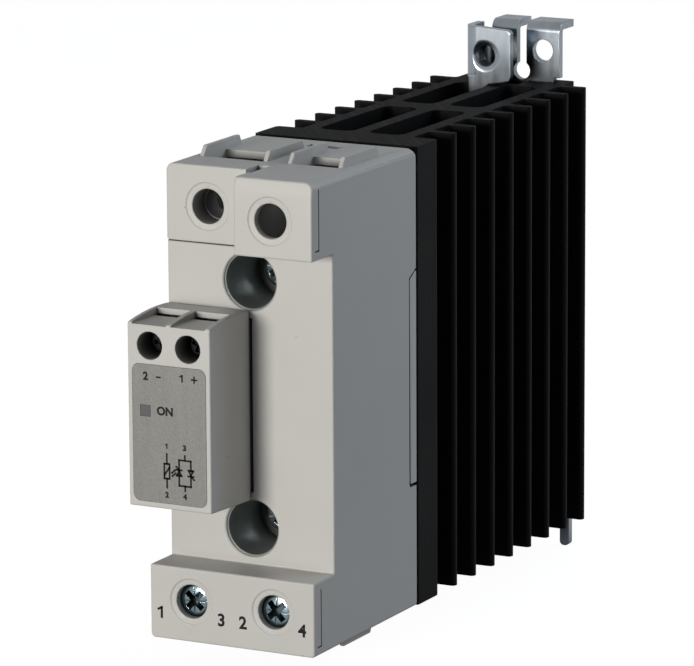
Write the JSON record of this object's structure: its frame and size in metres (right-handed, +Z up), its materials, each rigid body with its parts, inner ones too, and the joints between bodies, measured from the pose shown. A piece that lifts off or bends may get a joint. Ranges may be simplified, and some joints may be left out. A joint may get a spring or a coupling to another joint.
{
  "type": "solid state relay",
  "caption": "Slim solid state relay: moulded housing with screw terminals and a front control block on a finned extruded heatsink with a steel bracket and a sprung latch for a 35 mm rail",
  "frame": {"origin": "the middle of the rail seat: on the rear faces of the heatsink's two lips, half way up, midway between the sides", "axes": "+Y runs from the front of the relay back to the rail, +Z up, +X to the right seen from the front"},
  "size_m": [0.035, 0.1364, 0.1092],
  "materials": {
    "black_anodised": "black anodised, satin",
    "light_plastic": "fine moulded texture",
    "dark_plastic": "moulded",
    "pad_grey": "matte",
    "ceramic_white": "fired ceramic",
    "silicon": "polished",
    "copper": "bright copper",
    "zinc_screw": "blue zinc plated",
    "zinc_plate": "zinc plated sheet",
    "label_foil": "silver grey foil",
    "window_grey": "smoked",
    "led_green": "clear, tinted",
    "board_green": "solder resist",
    "black_epoxy": "moulded epoxy",
    "varistor_blue": "lacquered",
    "black_steel": "black passivated",
    "spring_steel": "drawn wire"
  },
  "bodies": {
    "relay": {"heatsink": "black_anodised", "housing_cover": "light_plastic", "base_frame": "dark_plastic", "thermal_pad": "pad_grey", "ceramic_substrate": "ceramic_white", "thyristor_chip_1": "silicon", "thyristor_chip_2": "silicon", "gate_pin_1": "copper", "gate_pin_2": "copper", "line_bar": "copper", "load_bar": "copper", "control_block": "light_plastic", "control_label": "label_foil", "led_window": "window_grey", "status_led": "led_green", "control_board": "board_green", "optocoupler": "black_epoxy", "varistor": "varistor_blue", "a2_contact": "copper", "a1_contact": "copper", "mounting_screw_lower": "zinc_screw", "mounting_screw_upper": "zinc_screw", "rail_bracket": "zinc_plate", "spring_seat": "zinc_plate", "latch_spring": "spring_steel"},
    "line_screw": {"line_screw": "zinc_screw"},
    "load_screw": {"load_screw": "zinc_screw"},
    "line_clamp": {"line_clamp": "zinc_plate"},
    "load_clamp": {"load_clamp": "zinc_plate"},
    "a2_screw": {"a2_screw": "black_steel"},
    "a1_screw": {"a1_screw": "black_steel"},
    "a2_clamp": {"a2_clamp": "zinc_plate"},
    "a1_clamp": {"a1_clamp": "zinc_plate"},
    "latch": {"din_latch": "zinc_plate"}
  },
  "joints": [
    {"name": "line_screw_turn", "type": "hinge", "parent": "relay", "child": "line_screw", "pos_m": [-0.00875, -0.1239, -0.0372], "axis": [0, 1, 0], "range_deg": [0, 1800]},
    {"name": "line_clamp_draw", "type": "slide", "parent": "relay", "child": "line_clamp", "axis": [0, -1, 0], "range_m": [0, 0.004]},
    {"name": "load_screw_turn", "type": "hinge", "parent": "relay", "child": "load_screw", "pos_m": [0.00875, -0.1239, -0.0372], "axis": [0, 1, 0], "range_deg": [0, 1800]},
    {"name": "load_clamp_draw", "type": "slide", "parent": "relay", "child": "load_clamp", "axis": [0, -1, 0], "range_m": [0, 0.004]},
    {"name": "a2_screw_turn", "type": "hinge", "parent": "relay", "child": "a2_screw", "pos_m": [-0.0128, -0.1285, 0.01325], "axis": [0, 1, 0], "range_deg": [0, 1080]},
    {"name": "a2_clamp_draw", "type": "slide", "parent": "relay", "child": "a2_clamp", "axis": [0, -1, 0], "range_m": [0, 0.0015]},
    {"name": "a1_screw_turn", "type": "hinge", "parent": "relay", "child": "a1_screw", "pos_m": [-0.0047, -0.1285, 0.01325], "axis": [0, 1, 0], "range_deg": [0, 1080]},
    {"name": "a1_clamp_draw", "type": "slide", "parent": "relay", "child": "a1_clamp", "axis": [0, -1, 0], "range_m": [0, 0.0015]},
    {"name": "latch_pull", "type": "slide", "parent": "relay", "child": "latch", "axis": [0, 0, -1], "range_m": [0, 0.004], "stiffness_N_per_m": 800, "springref_m": -0.003, "deforming": ["latch_spring"]}
  ],
  "couplings": [
    {"joint": "line_screw_turn", "follows": "line_clamp_draw", "rad_per_m": 7854},
    {"joint": "load_screw_turn", "follows": "load_clamp_draw", "rad_per_m": 7854},
    {"joint": "a2_screw_turn", "follows": "a2_clamp_draw", "rad_per_m": 12566},
    {"joint": "a1_screw_turn", "follows": "a1_clamp_draw", "rad_per_m": 12566}
  ]
}
